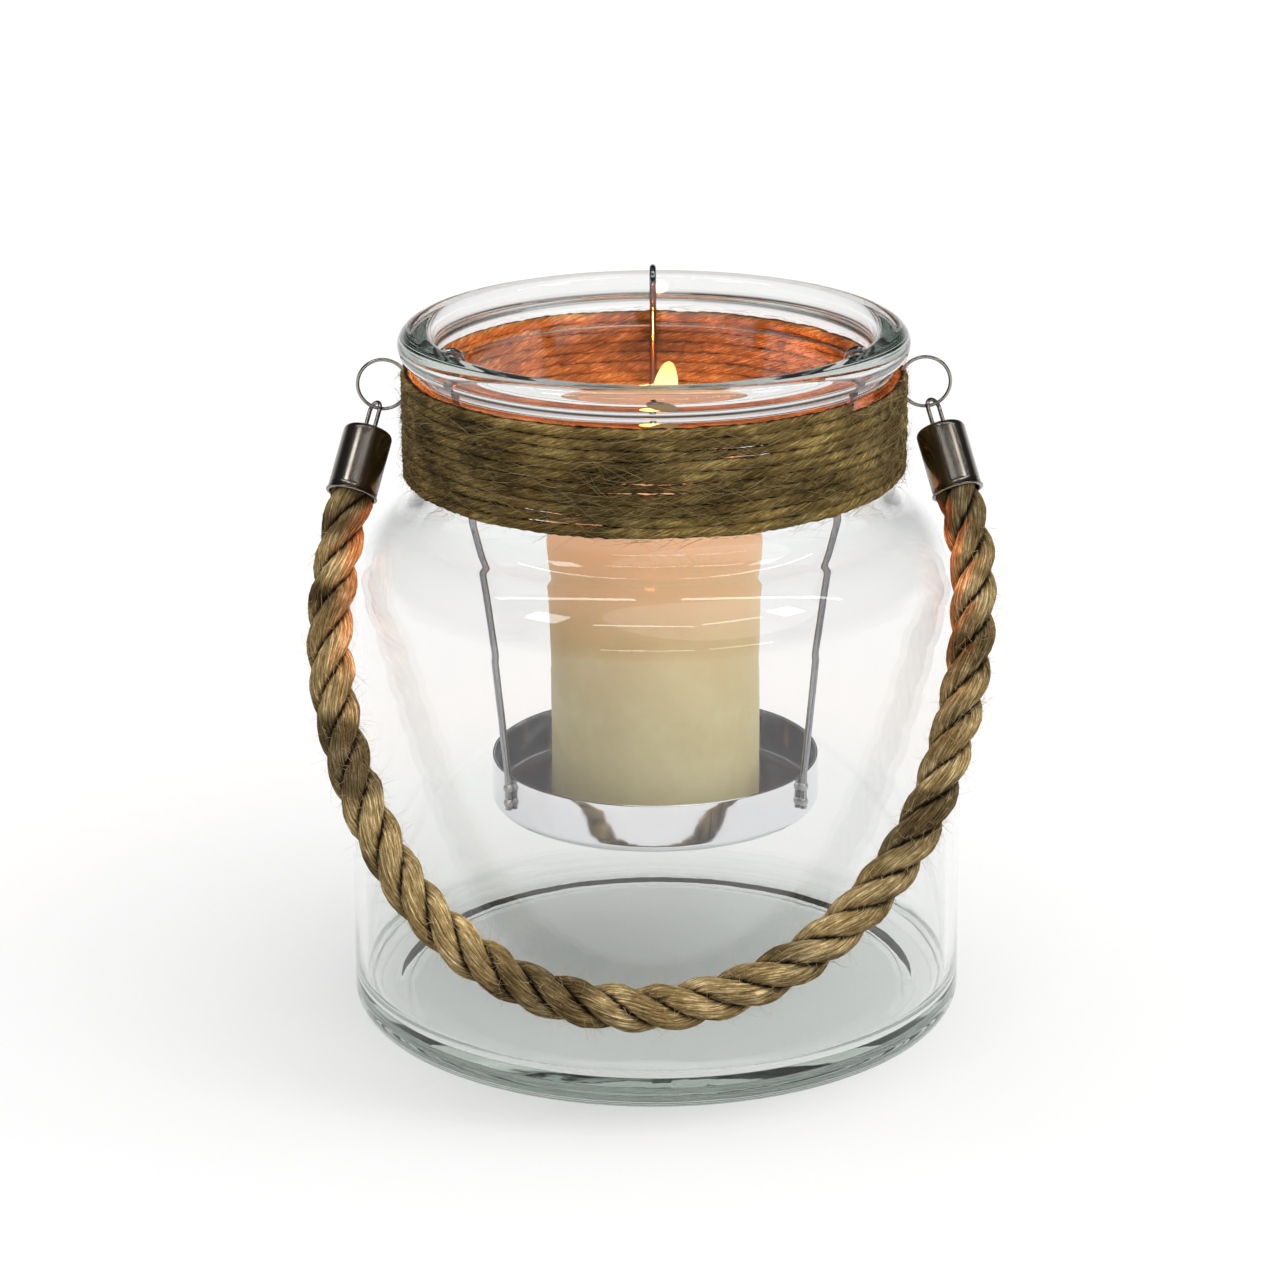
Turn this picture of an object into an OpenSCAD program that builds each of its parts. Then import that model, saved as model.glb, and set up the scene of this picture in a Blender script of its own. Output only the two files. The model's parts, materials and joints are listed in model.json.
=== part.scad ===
// Mason jar lantern. A wide glass jar has a jute-bound neck and a rope handle
// on two steel rings. A chrome tray hangs from the lip on three wires and
// holds a pillar candle.
// Origin at the centre of the jar's base, +Z up. The handle hangs in front of
// the jar, at -Y, and the rings are at +X and -X.

/* [Jar] */
// Height of the jar
jar_h = 200; // [190:1:215]
// Radius of the jar's body at the bottom
body_r = 88; // [84:0.5:92]
// Radius of the jar's body where the shoulder starts
body_top_r = 87; // [84:0.5:92]
// Height where the shoulder starts
shoulder_z = 127; // [115:1:130]
// Radius of the rounded shoulder
shoulder_r = 22; // [18:1:24]
// Outer radius of the neck
neck_r = 67.4; // [66:0.2:69]
// Thickness of the glass wall
glass_t = 3.6; // [2.5:0.1:4]
// Thickness of the glass floor
floor_t = 8; // [5:0.5:12]
// Radius of the rounded edge at the base
heel_r = 6; // [4:0.5:8]
// Outer radius of the lip
lip_r = 71.7; // [70:0.1:73]
// Radius of the lip's rounded outer side
lip_corner_r = 4; // [3.5:0.1:4.5]
// Radius of the rounded edge inside the mouth
lip_edge_r = 2.5; // [2:0.1:3]
// Radius of the mouth
mouth_r = 61.8; // [60:0.1:63]

/* [Neck binding] */
// Number of turns of jute twine on the neck
twine_turns = 10; // [8:1:10]
// Thickness of the jute twine
twine_d = 3.3; // [3:0.1:3.3]
// Height of the lowest edge of the twine
twine_z = 157.5; // [157:0.5:158]
// Thickness of the wire hoop under the twine
hoop_wire_d = 1; // [0.8:0.1:1]

/* [Rings and handle] */
// Radius of each ring, to the middle of its wire
ring_r = 7.1; // [6.8:0.1:7.4]
// Thickness of the ring's wire
ring_wire_d = 1; // [0.8:0.1:1.2]
// Distance from the jar's axis to the centre of each ring
ring_x = 76; // [75.8:0.1:76.2]
// Height of the handle's swing axis, where the eyes hang on the rings
pivot_z = 177; // [176:0.5:178]
// Forward lean of the hanging handle, in degrees
lean = 33.6; // [33.6:0.1:36]
// Thickness of the rope
rope_d = 12.5; // [11:0.5:12.5]
// Outer diameter of the end caps
cap_d = 14; // [13.6:0.2:14.4]
// Length of the end caps
cap_l = 20; // [16:1:22]
// Thickness of the eyes' wire
eye_wire_d = 1.2; // [1:0.1:1.3]

/* [Insert] */
// Outer radius of the tray
tray_r = 47; // [44:0.5:50]
// Height of the tray's wall
tray_h = 14.4; // [10:0.2:18]
// Height of the tray's underside above the base
tray_z = 60.8; // [50:0.2:70]
// Thickness of the tray's sheet
tray_t = 0.8; // [0.6:0.1:1.2]
// Thickness of the hanger wires
hanger_d = 2; // [1.6:0.1:2]

/* [Candle] */
// Radius of the candle
candle_r = 30; // [25:1:35]
// Height of the candle
candle_h = 100; // [80:5:100]
// Thickness of the wick
wick_d = 1.8; // [1.4:0.1:2.2]

/* [Hidden] */
$fn = 96;

// A hollow under the base leaves a standing ring
standing_ring_r = 76;
base_hollow = 1.5;
base_slope = 5;

// Shoulder and the fillet where it runs into the neck share one tangent
neck_fillet_r = 10;
shoulder_x = body_top_r - shoulder_r;
fillet_x = neck_r + neck_fillet_r;
fillet_z = shoulder_z + sqrt(pow(shoulder_r + neck_fillet_r, 2) - pow(fillet_x - shoulder_x, 2));
tangent_a = atan2(fillet_z - shoulder_z, fillet_x - shoulder_x);

// Inside, the mouth runs straight down the thick neck to a wider fillet
inside_shoulder_r = shoulder_r - glass_t;
inside_fillet_r = 16;
inside_x = mouth_r + inside_fillet_r;
inside_z = shoulder_z + sqrt(pow(inside_shoulder_r + inside_fillet_r, 2) - pow(inside_x - shoulder_x, 2));
inside_a = atan2(inside_z - shoulder_z, inside_x - shoulder_x);

// Centres of the lip's outer side and of its inner edge
lip_x = lip_r - lip_corner_r;
lip_z = jar_h - lip_corner_r;
lip_under_a = -85;
edge_x = mouth_r + lip_edge_r;
edge_z = jar_h - lip_edge_r;

// Twine turns lie a little closer than their thickness, just clear of the glass
twine_gap = 0.1;
twine_pitch = 3.25;
twine_r = neck_r + 1.95;

// Rings, and the hoop's ears that they hang in
ring_dx = 81 - 11 / 4 - ring_x;
ring_z = pivot_z + sqrt(ring_r * ring_r - ring_dx * ring_dx);
hoop_r = neck_r + hoop_wire_d / 2 + 0.1;
ear_r = 6;
ear_x = ring_x - ring_r + ring_wire_d / 2 + 0.5 + hoop_wire_d / 2 - ear_r;
ear_meet_x = (hoop_r * hoop_r - ear_r * ear_r + ear_x * ear_x) / (2 * ear_x);
ear_meet_y = sqrt(hoop_r * hoop_r - ear_meet_x * ear_meet_x);
ear_a = atan2(ear_meet_y, ear_meet_x - ear_x);
hoop_gap_a = atan2(ear_meet_y, ear_meet_x);
notch_w = ring_wire_d + 1.2;

// The rope's route lies in one plane that leans forward from the swing axis.
// Each point is [across, down the plane]. It is straight inside the end caps.
ROPE_ROUTE = [
    [-81, 11], [-85, 27], [-88, 43], [-90, 62], [-89, 81], [-85, 100],
    [-78, 119], [-67, 139], [-52, 155], [-33, 166], [-12, 171], [9, 170],
    [30, 163], [48, 151], [63, 135], [74, 117], [81, 98], [86, 78],
    [88, 60], [88, 43], [85, 27], [81, 11]
];
rope_sides = 12;

// End caps and eyes lie on a line from the swing axis, splayed outwards
pivot_x = ring_x + ring_dx;
splay = atan2(1, 4);
cap_drop = 6.75;
cap_top_t = 1.2;
cap_wall = 0.6;
cap_edge_r = 2;
cap_bead = 0.4;
rope_end = 11 / cos(splay);
eye_r = 2.4;
eye_play = 0.4;
eye_centre = eye_r - eye_wire_d / 2 - ring_wire_d / 2 - eye_play;
eye_leg_end = 10.4;
eye_turn_left = -50;
eye_turn_right = 42;

// Hanger wires run straight up, bend over the mouth's edge and rest on the lip
hanger_gap = 0.3;
hook_r = lip_edge_r + hanger_d / 2 + hanger_gap;
hook_tip = 1.5;
hanger_foot_x = tray_r + hanger_d / 2;
hanger_foot_z = tray_z + 5;
hanger_knee_z = tray_z + tray_h;
knee_r = 10;
joint_proud = 0.08;
knee_x = hanger_foot_x + knee_r;
knee_to_hook = norm([edge_x - knee_x, edge_z - hanger_knee_z]);
hanger_a = atan2(edge_x - knee_x, edge_z - hanger_knee_z) + asin((knee_r - hook_r) / knee_to_hook);
hanger_l = sqrt(pow(knee_to_hook, 2) - pow(knee_r - hook_r, 2));
back_a = 90;
left_a = 210;
right_a = 330;
tray_corner_r = 2.5;
weld_r = 1.5;
weld_heights = [2, 6.5];

// Candle
candle_z = tray_z + tray_t;
candle_edge_r = 2;
pool_r = 20;
pool_depth = 3;
wick_z = 2;
wick_out = 9;

// Points of an arc of radius r about c, from angle a to angle b, in n steps
function arc(c, r, a, b, n = 8) =
    [for (i = [0:n]) c + r * [cos(a + (b - a) * i / n), sin(a + (b - a) * i / n)]];

module jar() {
    color([0.80, 0.88, 0.86, 0.4])
    rotate_extrude()
    polygon(concat(
        [[0, base_hollow], [standing_ring_r - base_slope, base_hollow], [standing_ring_r, 0]],
        arc([body_r - heel_r, heel_r], heel_r, -90, 0),
        arc([shoulder_x, shoulder_z], shoulder_r, 0, tangent_a, 12),
        arc([fillet_x, fillet_z], neck_fillet_r, 180 + tangent_a, 180, 6),
        [[neck_r, lip_z - lip_corner_r]],
        arc([lip_x, lip_z], lip_corner_r, lip_under_a, 90, 12),
        arc([edge_x, edge_z], lip_edge_r, 90, 180, 8),
        arc([inside_x, inside_z], inside_fillet_r, 180, 180 + inside_a, 8),
        arc([shoulder_x, shoulder_z], inside_shoulder_r, inside_a, 0, 12),
        arc([body_r - glass_t - heel_r, floor_t + heel_r], heel_r, 0, -90),
        [[0, floor_t]]
    ));
}

module neck_wire() {
    color([0.55, 0.55, 0.55])
    translate([0, 0, ring_z])
    for (side = [0, 180]) rotate([0, 0, side]) {
        rotate([0, 0, hoop_gap_a])
        rotate_extrude(angle = 180 - 2 * hoop_gap_a)
        translate([hoop_r, 0]) circle(d = hoop_wire_d, $fn = 24);
        translate([ear_x, 0, 0])
        rotate([0, 0, -ear_a])
        rotate_extrude(angle = 2 * ear_a)
        translate([ear_r, 0]) circle(d = hoop_wire_d, $fn = 24);
    }
}

module neck_twine() {
    color([0.50, 0.42, 0.26])
    difference() {
        rotate_extrude()
        polygon(concat(
            [[neck_r + twine_gap, twine_z]],
            [for (i = [0:twine_turns - 1]) each
                arc([twine_r, twine_z + twine_pitch * (i + 0.5)], twine_d / 2, -75, 75, 6)],
            [[neck_r + twine_gap, twine_z + twine_pitch * twine_turns]]
        ));
        for (side = [-1, 1])
            translate([side * (neck_r + 3), 0, ring_z])
            cube([6.4, notch_w, 2 * ring_r + 2], center = true);
    }
}

module ring(side) {
    color([0.70, 0.68, 0.64])
    translate([side * ring_x, 0, ring_z])
    rotate([90, 0, 0])
    rotate_extrude()
    translate([ring_r, 0]) circle(d = ring_wire_d, $fn = 32);
}

module ring_left() ring(-1);

module ring_right() ring(1);

// Places its children in the plane of the hanging rope, X across and -Z down it
module in_handle_plane() {
    translate([0, 0, pivot_z]) rotate([-lean, 0, 0]) children();
}

// Places its children on one end cap's axis, with -Z towards the cap's mouth
module on_cap_axis(side) {
    in_handle_plane()
    translate([side * pivot_x, 0, 0])
    rotate([0, -side * splay, 0])
    children();
}

// Direction of the route at point i, from its neighbours
function heading(route, i) =
    let (step = route[min(i + 1, len(route) - 1)] - route[max(i - 1, 0)])
    step / norm(step);

// Ring of points round the route's point i, square to its direction
function rope_ring(route, i, r) =
    let (along = heading(route, i))
    [for (k = [0:rope_sides - 1])
        let (a = 360 * k / rope_sides)
        [route[i][0] + r * cos(a) * along[1], r * sin(a), -route[i][1] + r * cos(a) * along[0]]];

module rope() {
    last = len(ROPE_ROUTE) - 1;
    n = rope_sides;
    color([0.62, 0.48, 0.30])
    in_handle_plane()
    polyhedron(
        points = [for (i = [0:last]) each rope_ring(ROPE_ROUTE, i, rope_d / 2)],
        faces = concat(
            [[for (k = [0:n - 1]) k]],
            [for (i = [0:last - 1], k = [0:n - 1], half = [0, 1])
                let (a = i * n + k, b = i * n + (k + 1) % n)
                half == 0 ? [a, a + n, b] : [b, a + n, b + n]],
            [[for (k = [n - 1:-1:0]) last * n + k]]
        )
    );
}

module eye_legs(d, l) {
    for (x = [-eye_r, eye_r])
        translate([x, 0, -l]) cylinder(d = d, h = l - eye_centre, $fn = 32);
}

module end_cap(side, turn) {
    bore_r = cap_d / 2 - cap_wall;
    color([0.72, 0.68, 0.62])
    on_cap_axis(side)
    difference() {
        translate([0, 0, -cap_drop])
        rotate_extrude()
        polygon(concat(
            [[0, 0]],
            arc([cap_d / 2 - cap_edge_r, -cap_edge_r], cap_edge_r, 90, 0),
            arc([cap_d / 2, -cap_l + cap_bead], cap_bead, 90, -90, 6),
            [[bore_r, -cap_l], [bore_r, -cap_top_t], [0, -cap_top_t]]
        ));
        rotate([0, 0, turn]) eye_legs(eye_wire_d, eye_leg_end);
    }
}

module end_cap_left() end_cap(-1, eye_turn_left);

module end_cap_right() end_cap(1, eye_turn_right);

module eye(side, turn) {
    color([0.74, 0.71, 0.66])
    on_cap_axis(side)
    rotate([0, 0, turn]) {
        eye_legs(eye_wire_d, eye_leg_end);
        translate([0, 0, -eye_centre])
        rotate([90, 0, 0])
        rotate_extrude(angle = 180)
        translate([eye_r, 0]) circle(d = eye_wire_d, $fn = 32);
    }
}

module eye_left() eye(-1, eye_turn_left);

module eye_right() eye(1, eye_turn_right);

module adhesive(side, turn) {
    color([0.85, 0.80, 0.62])
    on_cap_axis(side)
    difference() {
        translate([0, 0, -rope_end])
        cylinder(d = cap_d - 2 * cap_wall, h = rope_end - cap_drop - cap_top_t);
        rotate([0, 0, turn]) eye_legs(eye_wire_d, eye_leg_end);
    }
}

module adhesive_left() adhesive(-1, eye_turn_left);

module adhesive_right() adhesive(1, eye_turn_right);

module tray() {
    color([0.78, 0.78, 0.80])
    translate([0, 0, tray_z])
    rotate_extrude()
    polygon(concat(
        [[0, 0]],
        arc([tray_r - tray_corner_r, tray_corner_r], tray_corner_r, -90, 0, 6),
        arc([tray_r - tray_t / 2, tray_h - tray_t / 2], tray_t / 2, 0, 180, 4),
        arc([tray_r - tray_corner_r, tray_corner_r], tray_corner_r - tray_t, 0, -90, 6),
        [[0, tray_t]]
    ));
}

// A bend of radius r about [x, z], from angle a, that sweeps on by the angle turn.
// A ball that is barely proud of the wire joins it to the straight at each end.
module wire_bend(x, z, r, a, turn) {
    translate([x, 0, z])
    rotate([90, 0, 0])
    rotate([0, 0, a]) {
        rotate_extrude(angle = turn)
        translate([r, 0]) circle(d = hanger_d, $fn = 32);
        for (end = [0, turn])
            rotate([0, 0, end]) translate([r, 0, 0]) sphere(d = hanger_d + joint_proud, $fn = 32);
    }
}

// A straight stretch of length l that starts at [x, z] and leans by the angle a
module wire_straight(x, z, l, a) {
    translate([x, 0, z])
    rotate([0, a, 0])
    cylinder(d = hanger_d, h = l, $fn = 32);
}

// One wire, drawn in the XZ plane and turned to its place round the tray
module hanger_wire(azimuth) {
    color([0.80, 0.80, 0.82])
    rotate([0, 0, azimuth]) {
        wire_straight(hanger_foot_x, hanger_foot_z, hanger_knee_z - hanger_foot_z, 0);
        wire_bend(knee_x, hanger_knee_z, knee_r, 180 - hanger_a, hanger_a);
        wire_straight(knee_x - knee_r * cos(hanger_a), hanger_knee_z + knee_r * sin(hanger_a),
            hanger_l, hanger_a);
        wire_bend(edge_x, edge_z, hook_r, 90, 90 - hanger_a);
        wire_straight(edge_x, edge_z + hook_r, hook_tip, 90);
    }
}

module hanger_wire_back() hanger_wire(back_a);

module hanger_wire_left() hanger_wire(left_a);

module hanger_wire_right() hanger_wire(right_a);

module tack_welds() {
    color([0.60, 0.60, 0.60])
    for (azimuth = [back_a, left_a, right_a], h = weld_heights)
        rotate([0, 0, azimuth])
        translate([hanger_foot_x - 0.1, 0, hanger_foot_z + h])
        sphere(r = weld_r, $fn = 24);
}

module candle() {
    color([0.94, 0.88, 0.70])
    translate([0, 0, candle_z])
    rotate_extrude()
    polygon(concat(
        [[wick_d / 2, 0], [candle_r - 0.5, 0], [candle_r, 0.5]],
        arc([candle_r - candle_edge_r, candle_h - candle_edge_r], candle_edge_r, 0, 90),
        [[pool_r + pool_depth, candle_h], [pool_r, candle_h - pool_depth],
        [wick_d / 2, candle_h - pool_depth]]
    ));
}

module wick() {
    color([0.20, 0.17, 0.14])
    translate([0, 0, candle_z + wick_z])
    cylinder(d = wick_d, h = candle_h - wick_z - pool_depth + wick_out, $fn = 24);
}

jar();
neck_wire();
neck_twine();
ring_left();
ring_right();
rope();
end_cap_left();
end_cap_right();
eye_left();
eye_right();
adhesive_left();
adhesive_right();
tray();
hanger_wire_back();
hanger_wire_left();
hanger_wire_right();
tack_welds();
candle();
wick();
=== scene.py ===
"""Looks of the mason jar lantern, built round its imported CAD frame.

Sizes below are in millimetres and every object is in metres, in the CAD frame: the origin is the
centre of the jar's base, +Z is up, the rings are at +X and -X, and the rope hangs in front, at -Y.
"""

import json
import math

import bpy
import numpy as np
from mathutils import Matrix, Vector


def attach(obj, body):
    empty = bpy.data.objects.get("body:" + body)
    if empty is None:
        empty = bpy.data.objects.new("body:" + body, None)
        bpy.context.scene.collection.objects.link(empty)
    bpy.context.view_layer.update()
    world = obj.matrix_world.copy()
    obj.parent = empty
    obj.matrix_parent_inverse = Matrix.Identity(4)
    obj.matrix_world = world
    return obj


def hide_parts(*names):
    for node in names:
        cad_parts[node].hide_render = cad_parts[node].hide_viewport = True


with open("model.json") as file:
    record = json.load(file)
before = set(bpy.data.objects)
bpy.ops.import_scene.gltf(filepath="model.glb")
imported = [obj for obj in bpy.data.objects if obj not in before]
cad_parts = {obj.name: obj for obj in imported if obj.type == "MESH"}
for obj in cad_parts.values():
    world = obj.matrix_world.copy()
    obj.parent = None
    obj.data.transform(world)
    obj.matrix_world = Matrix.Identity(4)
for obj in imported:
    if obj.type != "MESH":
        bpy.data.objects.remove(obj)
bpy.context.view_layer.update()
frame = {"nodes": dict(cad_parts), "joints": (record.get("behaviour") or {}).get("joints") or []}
MM = 0.001

# ---------------------------------------------------------------- sizes, as in the CAD model
JAR_H, BODY_R, BODY_TOP_R, HEEL_R = 200, 88, 87, 6
SHOULDER_Z, SHOULDER_R = 127, 22
NECK_R, NECK_FILLET_R, INSIDE_FILLET_R, GLASS_T, FLOOR_T = 67.4, 10, 16, 3.6, 8
LIP_R, MOUTH_R, LIP_CORNER_R, LIP_EDGE_R = 71.7, 61.8, 4, 2.5
STANDING_RING_R, BASE_HOLLOW, BASE_SLOPE = 76, 1.5, 5
TWINE_R, TWINE_Z, TWINE_TOP = 69.35, 157.5, 190
PIVOT_Z = frame["joints"][0]["pos_m"][2] / MM
LEAN = math.radians(33.6)
PIVOT_X, SPLAY = 78.25, math.atan2(1, 4)
CAP_DROP, CAP_L, CAP_D, CAP_WALL, CAP_EDGE_R, CAP_BEAD = 6.75, 20, 14, 0.6, 2, 0.4
CAP_TOP_T = 1.2
ROPE_D, ROPE_IN_CAP = 12.5, 15
TRAY_R, TRAY_H, TRAY_Z, TRAY_T, TRAY_CORNER_R = 47, 14.4, 60.8, 0.8, 2.5
CANDLE_R, CANDLE_H, CANDLE_Z = 30, 100, 61.6
CANDLE_FOOT_R, CANDLE_EDGE_R, WICK_HOLE_R = 1, 2.2, 0.95
POOL_R, POOL_DEPTH = 20, 3
WICK_TOP = 167.6
AXIS_R = 0.5  # how near the axis a turned profile starts, where a fan closes it

# The rope's route in the plane of the handle: across, and down from the swing axis
ROPE_ROUTE = [
    (-81, 11), (-85, 27), (-88, 43), (-90, 62), (-89, 81), (-85, 100), (-78, 119), (-67, 139),
    (-52, 155), (-33, 166), (-12, 171), (9, 170), (30, 163), (48, 151), (63, 135), (74, 117),
    (81, 98), (86, 78), (88, 60), (88, 43), (85, 27), (81, 11),
]


# ---------------------------------------------------------------- mesh helpers
def grid_faces(rows, columns):
    """Quads over a grid of points whose last column joins its first."""
    i = np.arange(rows - 1)[:, None] * columns
    j = np.arange(columns)[None, :]
    k = (j + 1) % columns
    return np.stack([i + j, i + k, i + columns + k, i + columns + j], axis=-1).reshape(-1, 4)


def new_piece(name, points, faces, material, body, replaces=(), values=None):
    """A smooth mesh piece from points in millimetres. values holds its point attributes by name."""
    mesh = bpy.data.meshes.new(name)
    mesh.from_pydata((np.asarray(points) * MM).tolist(), [], [list(map(int, f)) for f in faces])
    for key, data in (values or {}).items():
        kind, field = ("FLOAT_VECTOR", "vector") if data.ndim == 2 else ("FLOAT", "value")
        mesh.attributes.new(key, kind, "POINT").data.foreach_set(field, data.astype(np.float32).ravel())
    mesh.polygons.foreach_set("use_smooth", np.ones(len(mesh.polygons), bool))
    mesh.materials.append(material)
    mesh.update()
    piece = bpy.data.objects.new(name, mesh)
    bpy.context.scene.collection.objects.link(piece)
    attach(piece, body)
    if replaces:
        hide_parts(*replaces)
    return piece


def arc(cx, cy, r, start, end, steps):
    """Points of an arc about (cx, cy), from one angle to another, in degrees."""
    a = np.radians(np.linspace(start, end, steps + 1))
    return np.stack([cx + r * np.cos(a), cy + r * np.sin(a)], axis=1)


def line(a, b, steps):
    """Points from a to b, without a itself."""
    t = np.linspace(0, 1, steps + 1)[1:, None]
    return np.array(a) * (1 - t) + np.array(b) * t


def turned(profile, segments, closed=False):
    """Points and faces of a profile of (radius, height) turned about Z. A closed profile is a loop."""
    profile = np.asarray(profile, float)
    a = np.linspace(0, 2 * math.pi, segments, endpoint=False)
    r, z = profile[:, :1], np.repeat(profile[:, 1:], segments, axis=1)
    points = np.stack([r * np.cos(a), r * np.sin(a), z], axis=-1).reshape(-1, 3)
    faces = grid_faces(len(profile), segments)
    if closed:
        n = (len(profile) - 1) * segments
        j = np.arange(segments)
        k = (j + 1) % segments
        faces = np.concatenate([faces, np.stack([n + j, n + k, k, j], axis=1)])
    return points, faces


def capped(points, faces, rows, columns):
    """Closes both ends of a tube with a fan round a middle point."""
    ends = [points[:columns].mean(0), points[(rows - 1) * columns:rows * columns].mean(0)]
    n = len(points)
    j = np.arange(columns)
    k = (j + 1) % columns
    first = np.stack([k, j, np.full(columns, n)], axis=1)
    last = np.stack([(rows - 1) * columns + j, (rows - 1) * columns + k, np.full(columns, n + 1)], axis=1)
    return np.concatenate([points, ends]), [*faces, *first, *last]


def turned_solid(profile, segments):
    """A turned profile that starts and ends at the axis, where a fan closes each end."""
    points, faces = turned(profile, segments)
    return capped(points, faces, len(profile), segments)


def unit(v):
    """Vectors of length 1 in the same directions."""
    return v / np.linalg.norm(v, axis=-1, keepdims=True)


def wander(t, waves, seed):
    """A smooth wandering value between about -1 and 1, from sine waves of the given wavelengths."""
    random = np.random.default_rng(seed)
    total = sum(np.sin(2 * math.pi * (t / w + random.random())) for w in waves)
    return total / len(waves)


def fibres(theta, s, counts, seed):
    """Uneven ridges that run along a strand, between about -1 and 1. theta turns with the fibres."""
    random = np.random.default_rng(seed)
    total = np.zeros((len(s), len(theta)))
    for count in counts:
        drift = 1.5 * wander(s, (41, 19, 9), seed + count)
        swell = 0.65 + 0.35 * wander(s, (17, 7), seed + 50 + count)
        total += swell[:, None] * np.cos(count * theta + drift[:, None] + 2 * math.pi * random.random())
    return total / math.sqrt(len(counts))


def smooth(x, low, high):
    """A soft step from 0 at low to 1 at high."""
    x = np.clip((x - low) / (high - low), 0, 1)
    return x * x * (3 - 2 * x)


CURVE_STEPS = 24


def along_curve(route, step):
    """Points a step apart on a smooth curve through the route's points, and their distances along it."""
    p = np.array([2 * route[0] - route[1], *route, 2 * route[-1] - route[-2]])
    t = np.linspace(0, 1, CURVE_STEPS, endpoint=False)[:, None]
    parts = []
    for a, b, c, d in zip(p, p[1:], p[2:], p[3:]):
        parts.append(0.5 * (2 * b + (c - a) * t + (2 * a - 5 * b + 4 * c - d) * t ** 2
                            + (3 * b - a - 3 * c + d) * t ** 3))
    fine = np.concatenate([*parts, p[-2:-1]])
    s = np.concatenate([[0], np.cumsum(np.linalg.norm(np.diff(fine, axis=0), axis=1))])
    at = np.linspace(0, s[-1], round(s[-1] / step) + 1)
    return np.stack([np.interp(at, s, fine[:, k]) for k in range(3)], axis=1), at


def handle_matrix():
    """From the plane of the handle, X across and -Z down it, to the CAD frame in millimetres."""
    return Matrix.Translation((0, 0, PIVOT_Z)) @ Matrix.Rotation(-LEAN, 4, "X")


def cap_matrix(side):
    """From an end cap's own axis, with -Z towards its mouth, to the CAD frame in millimetres."""
    out = Matrix.Translation((side * PIVOT_X, 0, 0)) @ Matrix.Rotation(-side * SPLAY, 4, "Y")
    return handle_matrix() @ out


def moved(points, matrix):
    """The points carried by a matrix."""
    m = np.array(matrix)
    return np.asarray(points) @ m[:3, :3].T + m[:3, 3]


# ---------------------------------------------------------------- material helpers
class Nodes:
    """A short way to build a new material's node tree, or to add to a tree that is there."""

    def __init__(self, name, tree=None):
        self.tree = tree
        if tree is None:
            self.material = bpy.data.materials.new(name)
            self.material.use_nodes = True
            self.tree = self.material.node_tree
            self.tree.nodes.clear()
            self.output = self.add("ShaderNodeOutputMaterial")

    def add(self, kind, **settings):
        node = self.tree.nodes.new(kind)
        for key, value in settings.items():
            setattr(node, key, value)
        return node

    def link(self, source, target):
        self.tree.links.new(source, target)

    def put(self, socket, value):
        """Sets a socket to a value, or links an output to it."""
        if isinstance(value, bpy.types.NodeSocket):
            self.link(value, socket)
        else:
            socket.default_value = value

    def math(self, operation, a, b):
        node = self.add("ShaderNodeMath", operation=operation)
        self.put(node.inputs[0], a)
        self.put(node.inputs[1], b)
        return node.outputs[0]

    def scaled(self, vector, scale):
        """The vector with each part multiplied by its own scale."""
        node = self.add("ShaderNodeVectorMath", operation="MULTIPLY")
        self.put(node.inputs[0], vector)
        node.inputs[1].default_value = scale
        return node.outputs[0]

    def noise(self, vector, scale, detail=3.0, roughness=0.55, distortion=0.0):
        node = self.add("ShaderNodeTexNoise")
        self.put(node.inputs["Vector"], vector)
        node.inputs["Scale"].default_value = scale
        node.inputs["Detail"].default_value = detail
        node.inputs["Roughness"].default_value = roughness
        node.inputs["Distortion"].default_value = distortion
        return node.outputs["Fac"]

    def span(self, value, low, high, to_low=0.0, to_high=1.0):
        """A soft step from to_low, where the value is low, to to_high, where it is high."""
        node = self.add("ShaderNodeMapRange", interpolation_type="SMOOTHSTEP")
        self.put(node.inputs["Value"], value)
        for key, number in (("From Min", low), ("From Max", high), ("To Min", to_low), ("To Max", to_high)):
            node.inputs[key].default_value = number
        return node.outputs["Result"]

    def mix(self, factor, a, b, blend="MIX"):
        node = self.add("ShaderNodeMix", data_type="RGBA", blend_type=blend)
        self.put(node.inputs[0], factor)
        for socket, value in ((node.inputs[6], a), (node.inputs[7], b)):
            self.put(socket, (*value, 1) if isinstance(value, tuple) else value)
        return node.outputs[2]

    def bump(self, height, strength, distance):
        node = self.add("ShaderNodeBump")
        self.put(node.inputs["Height"], height)
        node.inputs["Strength"].default_value = strength
        node.inputs["Distance"].default_value = distance
        return node.outputs["Normal"]

    def grey(self, value):
        """A colour whose three channels have the value."""
        node = self.add("ShaderNodeCombineColor")
        for socket in node.inputs:
            self.put(socket, value)
        return node.outputs[0]

    def place(self):
        """The object's own coordinates, in metres."""
        return self.add("ShaderNodeTexCoord").outputs["Object"]

    def split(self, vector):
        """The X, Y and Z of a vector, by name."""
        node = self.add("ShaderNodeSeparateXYZ")
        self.link(vector, node.inputs[0])
        return node.outputs

    def either(self, factor, first, second):
        """The first shader where the factor is 0 and the second where it is 1."""
        node = self.add("ShaderNodeMixShader")
        for socket, source in zip(node.inputs, (factor, first, second)):
            self.link(source, socket)
        return node.outputs[0]

    def attribute(self, name, output="Vector"):
        return self.add("ShaderNodeAttribute", attribute_name=name).outputs[output]

    def principled(self, **values):
        node = self.add("ShaderNodeBsdfPrincipled")
        for key, value in values.items():
            socket = node.inputs[key.replace("_", " ")]
            self.put(socket, (*value, 1) if isinstance(value, tuple) and len(value) == 3
                     and socket.type == "RGBA" else value)
        return node

    def finish(self, shader):
        self.link(shader, self.output.inputs["Surface"])
        return self.material


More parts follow.
